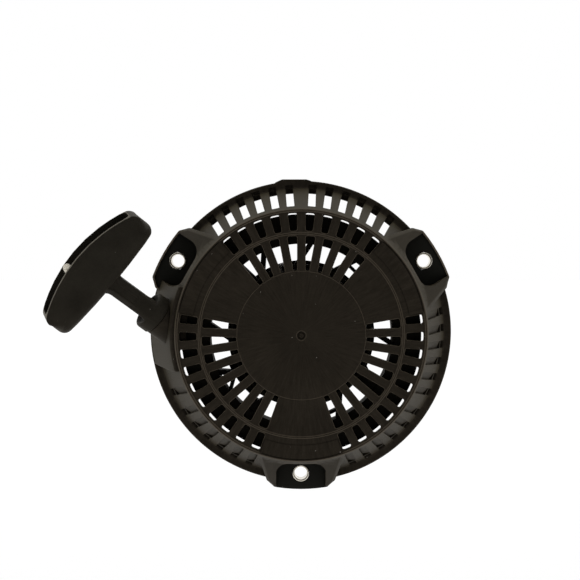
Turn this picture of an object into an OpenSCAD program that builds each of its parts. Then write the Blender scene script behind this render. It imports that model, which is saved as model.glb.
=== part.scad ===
// Recoil starter for a small engine: a vented housing with three mounting ears,
// a rope reel with a spiral return spring and two ratchet pawls, and a T-handle.
//
// Every sub-part is drawn in the "face" frame: X to the right and Y up as seen by a
// person who faces the starter, and Z out of the engine towards that person. Z = 0 is
// the face that bolts to the engine. upright() then stands the starter on edge, so that
// its front looks along -Y and +Z is up.

/* [Housing] */
// Distance from the mounting face to the front plate
housing_depth = 48; // [46:0.5:50]
// Radius of the flange's rim
flange_r = 90.4; // [89.5:0.1:92]
// Radius of the opening in the flange
flange_bore_r = 83; // [82:0.1:83.5]
// Thickness of the flange
flange_t = 6; // [5:0.5:7]
// Outer radius of the side wall where it meets the flange
wall_base_r = 86; // [85.5:0.1:86.5]
// Outer radius of the side wall at the front
wall_front_r = 73; // [72.5:0.1:73.5]
// Thickness of the front plate and of the side wall
shell_t = 2.8; // [2.4:0.1:3]
// Radius of the plain disc in the middle of the front
disc_r = 36.8; // [36:0.1:37]

/* [Air slots] */
// Number of inner slots in each third of the front
inner_slots = 8; // [6:1:9]
// Number of outer slots in each third of the front
outer_slots = 10; // [8:1:11]
// Width of the bars between the front slots
bar_w = 3.6; // [3:0.1:4]
// Width of the windows in the side wall
window_w = 4.4; // [4:0.1:4.8]
// Angle between neighbouring side windows
window_pitch = 6.75; // [6.5:0.05:7]

/* [Mounting ears] */
// Radius of the circle that the three bolts are on
bolt_circle_r = 85; // [84.8:0.1:85.2]
// Thickness of an ear at its bolt
ear_t = 9; // [8:0.5:10]
// Outer radius of the ears
ear_r = 94.8; // [94:0.1:95.5]
// Bore radius of the steel sleeves, for 6 mm bolts
sleeve_bore_r = 3.5; // [3.2:0.1:3.6]
// Outer radius of the steel sleeves
sleeve_r = 5.2; // [5:0.1:5.4]

/* [Reel] */
// Radius of the post that the reel turns on
post_r = 9; // [8.5:0.1:9.2]
// Radial running clearance on the post and on the pawl pivots
running_gap = 0.08; // [0.04:0.01:0.1]
// Outer radius of the reel's flanges
reel_r = 69.4; // [68:0.1:69.8]
// Radius of the bottom of the rope groove
groove_r = 55.4; // [55:0.1:55.6]
// Number of spokes between the spring cup and the rope groove
spoke_count = 12; // [8:1:14]

/* [Rope and handle] */
// Radius of the rope
rope_r = 2.1; // [1.8:0.1:2.2]
// Direction of the pull, counter-clockwise from the right as seen from the front
pull_angle = 142; // [138:1:146]
// Lean of the pull out of the reel's plane, towards the person
pull_tilt = 20; // [16:1:22]
// Length of the grip from end to end
grip_len = 80; // [74:1:86]
// Thickness of the grip
grip_t = 20; // [18:0.5:22]
// Radius of the round foot that rests on the rope outlet
foot_r = 11.4; // [10.5:0.1:11.8]

/* [Ratchet] */
// Distance of a pawl's pivot from the reel's axis
pivot_r = 19; // [18.9:0.1:19.2]
// Turn of the friction plate against the reel that throws the pawls right out
plate_turn = 25; // [20:1:26]
// Turn of a pawl while the friction plate makes its turn
pawl_turn = 22; // [18:1:23]

/* [Hidden] */
$fn = 96;
eps = 0.01;

// Directions of the three slot groups and of the three ears
slot_groups = [90, 210, 330];
ear_angles = [30, 150, 270];
group_half = 40.2;

// Levels along the axis, measured from the mounting face
post_end = 13.5;
plate_z = 13.8;
plate_t = 1.6;
pawl_z = 20;
pawl_t = 3.4;
reel_floor_z = 26;
cup_floor_z = 29;
groove_z = [27.4, 39];
rope_z = 33;
cup_top_z = 43.4;
insert_end = 28;

// Spring cup, reel hub and pawls
cup_r = 40.8;
cup_wall = 2;
hub_r = 12.6;
pawl_post_r = 3;
pawl_pin_r = 1.8;
pawl_pin_at = 9;
plate_r = 29;

// Rope outlet: the middle of the face that the handle's foot rests on
outlet = [-83.4, 10.5, 34];
outlet_arc = [158, 193];
winding_r = 61.7;
pull_dir = [
    cos(pull_angle) * cos(pull_tilt),
    sin(pull_angle) * cos(pull_tilt),
    sin(pull_tilt)
];

// Handle, measured along the pull from the underside of the foot
foot_h = 7.4;
grip_in = 36.7;
grip_out = 62.8;
crown_drop = 7.9;
slot_floor = 48;
slot_w = 12;
slot_len = 71;
stem_w = 11.6;
stem_t = 17;
knot_x = -11;

// Outer radius of the side wall at a height
wall_lean = (wall_base_r - wall_front_r) / (housing_depth - 2.2 - flange_t);
function wall_r_at(z) = wall_base_r - (z - flange_t) * wall_lean;

function unit(v) = v / norm(v);

// ---------------------------------------------------------------- shared modules

module upright() {
    rotate([90, 0, 0])
        children();
}

// Moves children from the pull's own frame, where +Z is the pull, +X is along the grip
// and the origin is the middle of the rope outlet.
module pull_frame() {
    translate(outlet)
        rotate([pull_tilt - 90, 0, pull_angle - 90])
            children();
}

module ring(r_out, r_in, h) {
    difference() {
        cylinder(r = r_out, h = h);
        translate([0, 0, -1])
            cylinder(r = r_in, h = h + 2);
    }
}

// A flat sector of a ring, from one angle to another
module sector_2d(r_in, r_out, from, to) {
    steps = 4;
    reach = 1.1 * r_out;
    intersection() {
        difference() {
            circle(r = r_out);
            circle(r = r_in);
        }
        polygon(concat(
            [[0, 0]],
            [for (i = [0:steps]) let (a = from + (to - from) * i / steps) reach * [cos(a), sin(a)]]
        ));
    }
}

// A round tube swept along a list of points
module swept_tube(path, radius, sides) {
    last = len(path) - 1;
    function tangent(i) = unit(path[min(i + 1, last)] - path[max(i - 1, 0)]);
    rings = [
        for (i = [0:last])
            let (t = tangent(i), u = unit(cross(t, [0, 0, 1])), v = cross(u, t))
                for (k = [0:sides - 1])
                    let (a = 360 * k / sides)
                        path[i] + radius * (cos(a) * u + sin(a) * v)
    ];
    sides_faces = [
        for (i = [0:last - 1], k = [0:sides - 1])
            let (n = (k + 1) % sides, a = i * sides, b = (i + 1) * sides)
                [a + k, b + k, b + n, a + n]
    ];
    caps = [
        [for (k = [0:sides - 1]) k],
        [for (k = [sides - 1:-1:0]) last * sides + k]
    ];
    polyhedron(points = rings, faces = concat(sides_faces, caps), convexity = 4);
}

// ---------------------------------------------------------------- housing

// The housing as one solid of revolution, before its inside is hollowed out
module housing_blank() {
    d = housing_depth;
    rotate_extrude()
        polygon([
            [0, 0], [flange_r, 0], [flange_r, flange_t - 1], [flange_r - 1, flange_t],
            [wall_base_r, flange_t], [wall_front_r, d - 2.2], [wall_front_r - 1.4, d - 1],
            [59.8, d - 0.4], [59.4, d + 0.5], [57.9, d + 0.5], [57.6, d],
            [disc_r, d], [disc_r - 0.5, d + 0.5], [0, d + 0.5]
        ]);
}

module housing_cavity() {
    d = housing_depth - shell_t;
    rotate_extrude()
        polygon([
            [0, -1], [flange_bore_r, -1], [flange_bore_r, flange_t],
            [wall_r_at(d - 1.6) - shell_t - 0.2, d - 1.6],
            [wall_r_at(d) - shell_t - 1.8, d], [0, d]
        ]);
}

// Slots of one ring of the front plate: a sector of a ring, less the bars across it
module front_slots(r_in, r_out, count) {
    pitch = 2 * group_half / (count - 0.45);
    for (g = slot_groups)
        translate([0, 0, housing_depth - shell_t - 1])
            linear_extrude(shell_t + 3)
                difference() {
                    sector_2d(r_in, r_out, g - group_half, g + group_half);
                    for (i = [1:count - 1])
                        rotate(g + (i - count / 2) * pitch)
                            translate([r_in - 5, -bar_w / 2])
                                square([r_out - r_in + 10, bar_w]);
                }
}

// Angles of the side windows, left and right of a group's middle
window_offsets = [for (i = [0:5]) 4.7 + i * window_pitch];

// The rope outlet takes the place of the first windows of the left group
function window_is_cut(a) = !(a > outlet_arc[0] - 6 && a < outlet_arc[1] + 9);

module side_windows() {
    sill = flange_t + 0.4;
    for (g = slot_groups, side = [-1, 1], o = window_offsets)
        if (window_is_cut(g + side * o))
            rotate(g + side * o)
                translate([66, -window_w / 2, sill])
                    cube([22, window_w, (g == 90 ? 41 : 24) - sill]);
}

// In the two lower groups the front half of each window is a sunk band
module side_bands() {
    top = housing_depth - 4;
    for (g = [210, 330], side = [-1, 1], o = window_offsets)
        if (window_is_cut(g + side * o))
            rotate(g + side * o)
                difference() {
                    translate([70, -window_w / 2, 23])
                        cube([16, window_w, top - 23]);
                    cylinder(r1 = wall_r_at(0) - 1.2, r2 = wall_r_at(top) - 1.2, h = top);
                }
}

module ear_plate() {
    linear_extrude(ear_t)
        intersection() {
            circle(r = ear_r);
            polygon([[72, -24], [89, -20.6], [95.5, -15.4], [95.5, 15.4], [89, 20.6], [72, 24]]);
        }
}

// Outline of the pocket that a bolt's head sits in, grown by a wall
module pocket_2d(grow) {
    for (side = [-1, 1])
        translate([83.3, side * 6.8])
            circle(r = 8 + grow);
    translate([75.3 - grow, -6.8])
        square([10, 13.6]);
    translate([83.3, -14.8 - grow])
        square([20, 29.6 + 2 * grow]);
}

module pocket_wall() {
    intersection() {
        linear_extrude(housing_depth - 4)
            pocket_2d(2.4);
        cylinder(r1 = wall_r_at(0), r2 = wall_r_at(housing_depth - 4), h = housing_depth - 4);
    }
}

// The rope outlet takes the place of the gusset beside it
function next_to_outlet(ear, side) = ear == 150 && side == 1;

// A gusset from the front edge of the side wall down to a corner of the ear
module ear_rib(side) {
    from = [69.6, side * 23.4];
    to = [92.2, side * 15.9];
    run = norm(to - from);
    translate([from[0], from[1], 0])
        rotate([90, 0, atan2(to[1] - from[1], to[0] - from[0])])
            translate([0, 0, -1.3])
                linear_extrude(2.6)
                    polygon([[0, 0], [run, 0], [run, 11], [run - 2, 13], [3.4, housing_depth - 4], [0, 40]]);
}

module outlet_bulge() {
    intersection() {
        linear_extrude(housing_depth - 3)
            sector_2d(60, flange_r, outlet_arc[0], outlet_arc[1]);
        cylinder(r1 = flange_r + 1.6, r2 = 75.6, h = housing_depth - 3);
    }
}

module outlet_nozzle() {
    pull_frame()
        translate([0, 0, -14])
            cylinder(r = foot_r - 0.6, h = 14);
}

// Three-sided pocket below the rope outlet
module outlet_pocket() {
    translate([0, 0, 24])
        linear_extrude(30)
            polygon([[-84.4, 0.4], [-78.6, 6.4], [-78.6, -7]]);
}

// A low pad on the flange's rim, a little to the left of the top
module flange_pad() {
    translate([-15.7, flange_r - 6, 0])
        cube([22, 6.9, flange_t]);
}

module centre_post() {
    translate([0, 0, post_end])
        cylinder(r = post_r, h = housing_depth - shell_t - post_end + eps);
}

module housing() {
    color("#34312c")
        upright()
            difference() {
                union() {
                    difference() {
                        union() {
                            housing_blank();
                            outlet_bulge();
                            outlet_nozzle();
                            for (a = ear_angles, side = [-1, 1])
                                if (!next_to_outlet(a, side))
                                    rotate(a)
                                        ear_rib(side);
                            flange_pad();
                        }
                        housing_cavity();
                    }
                    for (a = ear_angles)
                        rotate(a) {
                            ear_plate();
                            pocket_wall();
                        }
                    centre_post();
                }
                front_slots(disc_r + 0.6, 57.2, inner_slots);
                front_slots(60.2, 70.8, outer_slots);
                side_windows();
                side_bands();
                for (a = ear_angles)
                    rotate(a) {
                        translate([0, 0, ear_t])
                            linear_extrude(60)
                                pocket_2d(0);
                        translate([bolt_circle_r, 0, -1])
                            cylinder(r = sleeve_r, h = ear_t + 2);
                    }
                outlet_pocket();
                pull_frame() {
                    translate([0, 0, -30])
                        cylinder(r = 5.6, h = 31);
                    translate([0, 0, -1.6])
                        cylinder(r = 7.2, h = 3);
                    translate([0, 0, 0.05])
                        cylinder(r = foot_r + 0.6, h = 12);
                }
                translate([0, 0, post_end - 1])
                    cylinder(r = 4.6, h = insert_end - post_end + 1);
                translate([post_r - 1.5, -0.6, cup_floor_z + 1])
                    cube([3, 1.2, 13]);
            }
}

module mount_sleeve(angle) {
    color("#d8d2bf")
        upright()
            rotate(angle)
                translate([bolt_circle_r, 0, 0])
                    ring(sleeve_r, sleeve_bore_r, ear_t + 0.6);
}

// Flared ring that the rope slides over, pressed into the mouth of the outlet
module rope_guide() {
    color("silver")
        upright()
            pull_frame()
                rotate_extrude()
                    polygon([
                        [3.8, 0], [7.2, 0], [7.2, -1.6], [5.6, -1.6], [5.6, -7], [4.6, -7],
                        [3, -4.5], [2.7, -3], [2.7, -1.6]
                    ]);
}

module post_insert() {
    color("#b08d3c")
        upright()
            translate([0, 0, post_end])
                ring(4.6, 3, insert_end - post_end);
}

module thrust_washer() {
    color("silver")
        upright()
            translate([0, 0, post_end - 1.2])
                ring(13.5, 3.3, 1.2);
}

module centre_screw() {
    seat = post_end - 1.2;
    color("silver")
        upright() {
            translate([0, 0, seat])
                cylinder(r = 2.95, h = 15);
            translate([0, 0, seat - 1.2])
                cylinder(r = 7, h = 1.2);
            translate([0, 0, seat - 5])
                cylinder(r = 5.8, h = 3.8, $fn = 6);
        }
}

// ---------------------------------------------------------------- reel and spring

// The bars of the wheel lean, so that each one runs clockwise as it goes outwards
module spoke() {
    inner = (cup_r - cup_wall / 2) * [cos(5.5), sin(5.5)];
    outer = (groove_r - 1.4) * [cos(-5.5), sin(-5.5)];
    run = outer - inner;
    translate([inner[0], inner[1], 28])
        rotate(atan2(run[1], run[0]))
            translate([0, -1.2, 0])
                cube([norm(run), 2.4, 12.4]);
}

module reel_wheel() {
    rotate_extrude()
        polygon([
            [post_r + running_gap, pawl_z], [hub_r, pawl_z], [hub_r, reel_floor_z],
            [cup_r, reel_floor_z], [cup_r, cup_top_z], [cup_r - cup_wall, cup_top_z],
            [cup_r - cup_wall, cup_floor_z], [post_r + running_gap, cup_floor_z]
        ]);
    rotate_extrude()
        polygon([
            [groove_r - 2.8, groove_z[0] - 2.4], [reel_r, groove_z[0] - 2.4],
            [reel_r, groove_z[0] - 0.6], [groove_r, groove_z[0]], [groove_r, groove_z[1]],
            [reel_r, groove_z[1] + 0.6], [reel_r, groove_z[1] + 2], [57.4, groove_z[1] + 2],
            [57, groove_z[1] + 2.8], [groove_r - 2.8, groove_z[1] + 2.8]
        ]);
    for (i = [0:spoke_count - 1])
        rotate(29 + i * 360 / spoke_count)
            spoke();
}

knot_angle = 314;

module reel() {
    color("#2b2925")
        upright()
            difference() {
                union() {
                    reel_wheel();
                    for (side = [-1, 1])
                        translate([0, side * pivot_r, pawl_z - 0.6])
                            cylinder(r = pawl_post_r, h = reel_floor_z - pawl_z + 1.6);
                    rotate(knot_angle)
                        translate([44.6, -6, 28])
                            difference() {
                                cube([9, 12, 12.4]);
                                translate([-1, 1.6, 2])
                                    cube([8.4, 8.8, 12]);
                            }
                }
                rotate(knot_angle)
                    translate([49, 0, rope_z])
                        rotate([0, 90, 0])
                            cylinder(r = rope_r + 0.4, h = 8);
                rotate(107)
                    translate([cup_r - cup_wall - 1, -1, 34])
                        cube([cup_wall + 2, 2, 12]);
            }
}

spring_turns = 7;
spring_r_in = 11;
spring_r_out = 38;
spring_strip = 0.8;
spring_steps = 28;
spring_end_angle = 107;

// Radius of the spring's middle line after a number of turns
function spring_r(turns) = spring_r_in + (spring_r_out - spring_r_in) * turns / spring_turns;

function spring_edge(turns, offset) =
    let (a = spring_end_angle + 360 * (turns - spring_turns))
        (spring_r(turns) + offset) * [cos(a), sin(a)];

module recoil_spring() {
    count = spring_turns * spring_steps;
    color("#9a9a96")
        upright() {
            translate([0, 0, 30.4])
                linear_extrude(12)
                    polygon(concat(
                        [for (i = [0:count]) spring_edge(i / spring_steps, spring_strip / 2)],
                        [for (i = [count:-1:0]) spring_edge(i / spring_steps, -spring_strip / 2)]
                    ));
            rotate(spring_end_angle)
                translate([spring_r_out - 0.4, -0.4, 34.4])
                    cube([5, 0.8, 8]);
        }
}

// ---------------------------------------------------------------- rope

// The turns of rope that lie on the reel
module rope_winding() {
    color("#e6e0d2")
        upright()
            translate([0, 0, rope_z - 4.6])
                ring(winding_r - rope_r - 0.3, groove_r + 0.2, 9.2);
}

// Point inside the outlet where the rope turns from the reel towards the pull
bend = outlet - 9 * pull_dir;
bend_r = norm([bend[0], bend[1]]);
leave_angle = atan2(bend[1], bend[0]) + acos(winding_r / bend_r);
leave = [winding_r * cos(leave_angle), winding_r * sin(leave_angle), rope_z];

rope_path = [
    leave,
    leave + (bend - leave) * 0.25,
    leave + (bend - leave) * 0.5,
    leave + (bend - leave) * 0.75,
    leave + (bend - leave) * 0.92,
    bend + 1.2 * pull_dir,
    bend + 4 * pull_dir,
    outlet
];

module rope_run() {
    color("#e6e0d2")
        upright()
            swept_tube(rope_path, rope_r, 8);
}

module rope_tail() {
    color("#e6e0d2")
        upright()
            pull_frame()
                translate([0, 0, eps])
                    cylinder(r = rope_r, h = slot_floor + 1.4);
}

// A ball of rope in the reel's pocket, on the rope that comes through the groove's floor
module reel_knot() {
    ball_r = 3.6;
    color("#e6e0d2")
        upright()
            rotate(knot_angle)
                translate([48.6, 0, rope_z])
                    rotate([0, 90, 0])
                        rotate_extrude($fn = 48)
                            polygon(concat(
                                [[0, -ball_r]],
                                [for (a = [-80:10:50]) ball_r * [cos(a), sin(a)]],
                                [[rope_r, 3], [rope_r, 6.6], [0, 6.6]]
                            ));
}

module handle_knot() {
    color("#e6e0d2")
        upright()
            pull_frame() {
                translate([0, 0, slot_floor + 4.4])
                    sphere(r = 4, $fn = 32);
                translate([knot_x, -5.6, slot_floor + 9.6])
                    rotate([-90, 0, 0])
                        cylinder(r = rope_r + 0.2, h = 11.2);
                translate([0, 0, slot_floor + 4.4])
                    rotate([0, atan2(knot_x, 5.2), 0])
                        cylinder(r = rope_r, h = norm([knot_x, 5.2]));
            }
}

// ---------------------------------------------------------------- handle

// Side view of the grip: a crowned outer edge, and an inner edge that rises to its ends
module grip_2d() {
    half = grip_len / 2;
    crown_at = half - 3.4;
    crown_r = (crown_at * crown_at + crown_drop * crown_drop) / (2 * crown_drop);
    intersection() {
        translate([0, grip_out - crown_r])
            circle(r = crown_r);
        offset(r = 5)
            polygon([
                [-half + 6, grip_in + 6.6], [0, grip_in + 5], [half - 6, grip_in + 6.6],
                [half - 5, grip_in + 9], [half - 7, grip_out + 4], [-half + 7, grip_out + 4],
                [-half + 5, grip_in + 9]
            ]);
    }
}

module grip_slab(inset, t) {
    translate([0, t / 2, 0])
        rotate([90, 0, 0])
            linear_extrude(t)
                offset(delta = -inset)
                    grip_2d();
}

module stem_2d() {
    side = [stem_w / 2 - 3, stem_t / 2 - 3];
    for (x = [-1, 1], y = [-1, 1])
        translate([x * side[0], y * side[1]])
            circle(r = 3);
    square([stem_w, 2 * side[1]], center = true);
    square([2 * side[0], stem_t], center = true);
}

module handle_grip() {
    color("#2e2d29")
        upright()
            pull_frame()
                difference() {
                    union() {
                        hull() {
                            grip_slab(0, grip_t - 6.5);
                            grip_slab(2.4, grip_t);
                        }
                        translate([0, 0, 3])
                            linear_extrude(grip_in)
                                stem_2d();
                        translate([0, 0, 0.3])
                            cylinder(r = foot_r, h = foot_h - 0.3);
                    }
                    translate([-slot_len / 2, -slot_w / 2, slot_floor])
                        cube([slot_len, slot_w, 30]);
                    translate([0, 0, -1])
                        cylinder(r = rope_r + 0.4, h = slot_floor + 2);
                    for (side = [-1, 1])
                        translate([side * (stem_w / 2 + 2.6), 0, foot_h - 2])
                            cylinder(r = 2.2, h = 4);
                }
}

// ---------------------------------------------------------------- ratchet

module pawl_2d() {
    difference() {
        union() {
            circle(r = 5.6);
            polygon([[-1, 5.5], [13, 6.6], [22, 4.8], [22, 1.6], [11, -3.4], [0, -5.6]]);
        }
        circle(r = pawl_post_r + running_gap);
    }
}

module pawl(index) {
    color("#8d8f91")
        upright()
            rotate(180 * (index - 1))
                translate([0, pivot_r, 0]) {
                    translate([0, 0, pawl_z])
                        linear_extrude(pawl_t)
                            pawl_2d();
                    translate([pawl_pin_at, 0, plate_z - 0.8])
                        cylinder(r = pawl_pin_r, h = pawl_z - plate_z + 1.8);
                }
}

// Middle of a pawl's pin, seen from the friction plate, at a share of the full turn
function pin_on_plate(share) =
    let (b = pawl_turn * share, a = -plate_turn * share,
         p = [pawl_pin_at * cos(b), pivot_r + pawl_pin_at * sin(b)])
        [p[0] * cos(a) - p[1] * sin(a), p[0] * sin(a) + p[1] * cos(a)];

module friction_plate() {
    color("#3a3a3a")
        upright()
            difference() {
                union() {
                    translate([0, 0, plate_z])
                        cylinder(r = plate_r, h = plate_t);
                    translate([0, 0, plate_z])
                        cylinder(r = 12, h = pawl_z - plate_z - 0.4);
                }
                translate([0, 0, plate_z - 1])
                    cylinder(r = post_r + running_gap, h = 12);
                for (turn = [0, 180], step = [0:10])
                    let (p = pin_on_plate(step / 10))
                        rotate(turn)
                            translate([p[0], p[1], plate_z - 1])
                                cylinder(r = pawl_pin_r + 0.4, h = 4);
                for (turn = [20, 200])
                    rotate(turn)
                        translate([plate_r + 9, 0, plate_z - 1])
                            cylinder(r = 16, h = 4);
            }
}

// An open ring of wire that grips the friction plate's collar, with one end turned out
module friction_spring() {
    ring_r = 12.8;
    level = 17.6;
    loop = [for (i = [0:40]) let (a = 30 + 7.5 * i) [ring_r * cos(a), ring_r * sin(a), level]];
    color("silver")
        upright()
            swept_tube(concat([1.3 * loop[0] - [0, 0, 0.3 * level]], loop), 0.6, 8);
}

// A small wire spring round a pawl's pivot, with one leg on the reel and one on the pawl
module pawl_spring(index) {
    coil_r = 4.3;
    turns = 1.75;
    steps = 32;
    coil = [
        for (i = [0:steps])
            let (a = 90 + 360 * turns * i / steps)
                [coil_r * cos(a), coil_r * sin(a), 24 + 1.6 * i / steps]
    ];
    color("silver")
        upright()
            rotate(180 * (index - 1))
                translate([0, pivot_r, 0])
                    swept_tube(concat([[9, coil_r, 24]], coil, [[9, 0, 25.6]]), 0.4, 6);
}

// ---------------------------------------------------------------- assembly

housing();
mount_sleeve(150);  // mount_sleeve_left
mount_sleeve(30);  // mount_sleeve_right
mount_sleeve(270);  // mount_sleeve_bottom
rope_guide();
post_insert();
centre_screw();
thrust_washer();
rope_run();
reel();
recoil_spring();
rope_winding();
reel_knot();
pawl_spring(1);  // pawl_spring_1
pawl_spring(2);  // pawl_spring_2
handle_grip();
rope_tail();
handle_knot();
friction_plate();
friction_spring();
pawl(1);  // pawl_1
pawl(2);  // pawl_2
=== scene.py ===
"""A pull-cord starter for a small engine, seen from its vented front.

Shapes are drawn in the "face" frame of a person who looks at the front: x to the right, y up and z out of
the engine, in millimetres. face() turns such a point into the row frame, in metres.
"""

import math
from itertools import accumulate

import bmesh
import bpy
from mathutils import Euler, Matrix, Vector


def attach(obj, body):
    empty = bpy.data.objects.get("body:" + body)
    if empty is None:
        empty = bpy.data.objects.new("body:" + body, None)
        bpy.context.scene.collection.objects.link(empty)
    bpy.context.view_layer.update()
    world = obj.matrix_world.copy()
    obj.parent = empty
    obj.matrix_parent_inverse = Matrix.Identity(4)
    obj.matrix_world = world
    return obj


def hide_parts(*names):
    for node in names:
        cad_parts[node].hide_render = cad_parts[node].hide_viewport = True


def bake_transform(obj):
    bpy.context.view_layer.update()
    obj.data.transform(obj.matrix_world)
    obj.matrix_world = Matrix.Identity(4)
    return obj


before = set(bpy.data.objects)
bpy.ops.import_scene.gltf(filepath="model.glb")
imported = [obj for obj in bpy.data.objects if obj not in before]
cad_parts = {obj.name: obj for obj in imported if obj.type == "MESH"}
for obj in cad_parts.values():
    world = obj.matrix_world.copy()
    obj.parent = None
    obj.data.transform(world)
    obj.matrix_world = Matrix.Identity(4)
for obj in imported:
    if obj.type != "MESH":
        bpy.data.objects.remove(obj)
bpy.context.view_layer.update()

MM = 0.001


def face(x, y, z):
    """A point of the face frame, in millimetres, as a point of the row frame, in metres."""
    return Vector((x, -z, y)) * MM


# ------------------------------------------------------------------ camera, floor and light

CAMERA_AT = Vector((-0.0065, -0.9, 0.051))
CAMERA_PITCH = 1.67
LENS = 92.4
FLOOR_Z = -0.32


def linked(made):
    """The object, now part of the scene."""
    bpy.context.scene.collection.objects.link(made)
    return made


def make_camera():
    """The front, almost straight on and from a little above."""
    data = bpy.data.cameras.new("camera")
    data.lens = LENS
    data.sensor_width = 36
    data.clip_end = 40
    camera = linked(bpy.data.objects.new("camera", data))
    camera.location = CAMERA_AT
    camera.rotation_euler = Euler((math.radians(90 - CAMERA_PITCH), 0, 0))
    bpy.context.scene.camera = camera


def make_world():
    """Even white light from all sides."""
    world = bpy.data.worlds.new("white_tent")
    bpy.context.scene.world = world
    world.use_nodes = True
    light = world.node_tree.nodes["Background"].inputs
    light["Color"].default_value = (1, 1, 1, 1)
    light["Strength"].default_value = 1.0


def make_plane(name, size, at, rotation=(0, 0, 0)):
    """A rectangle of the stage."""
    mesh = bpy.data.meshes.new(name)
    x, y = size[0] / 2, size[1] / 2
    mesh.from_pydata([(-x, -y, 0), (x, -y, 0), (x, y, 0), (-x, y, 0)], [], [(0, 1, 2, 3)])
    plane = linked(bpy.data.objects.new(name, mesh))
    plane.location = at
    plane.rotation_euler = Euler([math.radians(a) for a in rotation])
    return plane


def new_material(name, settings):
    """A material, its node tree and its shader, with constants set on the shader."""
    material = bpy.data.materials.new(name)
    material.use_nodes = True
    shader = material.node_tree.nodes["Principled BSDF"]
    for socket, value in settings.items():
        shader.inputs[socket].default_value = value
    return material, material.node_tree, shader


def flat_material(name, colour, glow):
    """Paint for the stage, which may glow white."""
    return new_material(name, {"Base Color": (*colour, 1), "Roughness": 0.9,
                               "Emission Color": (1, 1, 1, 1), "Emission Strength": glow})[0]


def make_stage():
    """A pale floor under a white tent, and a dark card that keeps the object's front dark."""
    bpy.context.scene.view_settings.view_transform = "Standard"
    make_world()
    floor = make_plane("floor", size=(30, 30), at=(0, 0, FLOOR_Z))
    floor.data.materials.append(flat_material("floor_paint", (0.5, 0.5, 0.5), 0.5))
    card = make_plane("dark_card", size=(2.6, 1.9), at=(0, -1.5, 0.42), rotation=(90, 0, 0))
    card.data.materials.append(flat_material("card_black", (0.01, 0.01, 0.01), 0))
    card.visible_camera = False


# ------------------------------------------------------------------ materials
# Patterns use each piece's own coordinates, in metres, so a scale of 1000 makes features of about 1 mm.

# A brownish gloss, as dusty black plastic has
WARM_GLOSS = {
    "Specular Tint": (1, 0.86, 0.66, 1),
    "Sheen Weight": 0.06,
    "Sheen Roughness": 0.45,
    "Sheen Tint": (1, 0.86, 0.6, 1),
}
GRAIN = 0.00003
# Colour of the painted shade in recesses
RECESS_SHADE = (0.0015, 0.0015, 0.0015)
DUST_COLOUR = (0.3, 0.28, 0.25)
# Painted highlights show on the front above this height, and on the handle this far out along the pull
HIGHLIGHT_FRONT, HIGHLIGHT_GRIP = 46.4, 51.5


def add(tree, kind, settings=None, **inputs):
    """Adds a shader node. An input is a value or the socket that feeds it."""
    made = tree.nodes.new("ShaderNode" + kind)
    for name, value in (settings or {}).items():
        setattr(made, name, value)
    for name, value in inputs.items():
        socket = made.inputs[int(name[1:]) if name[0] == "i" and name[1:].isdigit() else name]
        if isinstance(value, bpy.types.NodeSocket):
            tree.links.new(value, socket)
        else:
            socket.default_value = value
    return made


def calc(tree, operation, a, b=0.0, c=0.0):
    """The result of a sum on numbers or sockets."""
    return add(tree, "Math", {"operation": operation}, i0=a, i1=b, i2=c).outputs[0]


def times(tree, a, b):
    return calc(tree, "MULTIPLY", a, b)


def own(tree, kind):
    """The piece's own Object or Normal coordinates."""
    return add(tree, "TexCoord").outputs[kind]


def axes_of(tree, vector):
    return add(tree, "SeparateXYZ", Vector=vector).outputs


def height_of(tree, place):
    """Height above the mounting face, in millimetres."""
    return times(tree, axes_of(tree, place)["Y"], -1 / MM)


def noise(tree, vector, scale, detail=2.0, roughness=0.5):
    made = add(tree, "TexNoise", Vector=vector, Scale=scale, Detail=detail, Roughness=roughness)
    return made.outputs["Fac"]


def spread(tree, value, low, high, to_low=0.0, to_high=1.0):
    """Maps a value from one range to another, and holds it inside."""
    return add(tree, "MapRange", i0=value, i1=low, i2=high, i3=to_low, i4=to_high).outputs[0]


def mixed(tree, share, first, second):
    """A colour between two others."""
    made = add(tree, "Mix", {"data_type": "RGBA"}, i0=share)
    for index, colour in ((6, first), (7, second)):
        if isinstance(colour, bpy.types.NodeSocket):
            tree.links.new(colour, made.inputs[index])
        else:
            made.inputs[index].default_value = (*colour, 1)
    return made.outputs[2]


def feed(tree, shader, colour, rough):
    tree.links.new(colour, shader.inputs["Base Color"])
    tree.links.new(rough, shader.inputs["Roughness"])


def relief(tree, shader, height, depth):
    """Bump of a depth in metres."""
    bump = add(tree, "Bump", Height=height, Distance=depth, Strength=1.0)
    tree.links.new(bump.outputs["Normal"], shader.inputs["Normal"])


def band(tree, value, middle, half):
    """1 at the middle of a band of values, falling to 0 at its ends."""
    off = calc(tree, "ABSOLUTE", calc(tree, "SUBTRACT", value, middle))
    return spread(tree, off, half * 0.6, half, 1.0, 0.0)


def painted_edge_highlights(tree, place):
    """Where highlights are painted: 1 on the ears' lips, part of 1 on the rounded edges of the front, and 0
    elsewhere.
    """
    facing = calc(tree, "ABSOLUTE", axes_of(tree, own(tree, "Normal"))["Y"])
    height = height_of(tree, place)
    edge = times(tree, band(tree, facing, 0.62, 0.34), 0.45)
    front = times(tree, edge, calc(tree, "GREATER_THAN", height, HIGHLIGHT_FRONT))
    flat = calc(tree, "GREATER_THAN", facing, 0.85)
    lip = times(tree, band(tree, height, EAR_T + 0.7, 0.3), flat)
    return calc(tree, "MAXIMUM", front, lip)


def with_painted_wall_shading(tree, finish, low, high):
    """The colour, with painted shade and light on the side walls: low where they look down, high where they
    look up.
    """
    axes = axes_of(tree, own(tree, "Normal"))
    tint = mixed(tree, spread(tree, axes["Z"], -0.9, 0.9), low, high)
    sideways = spread(tree, calc(tree, "ABSOLUTE", axes["Y"]), 0.4, 0.75, 0.85, 0.0)
    return mixed(tree, sideways, finish, tint)


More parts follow.
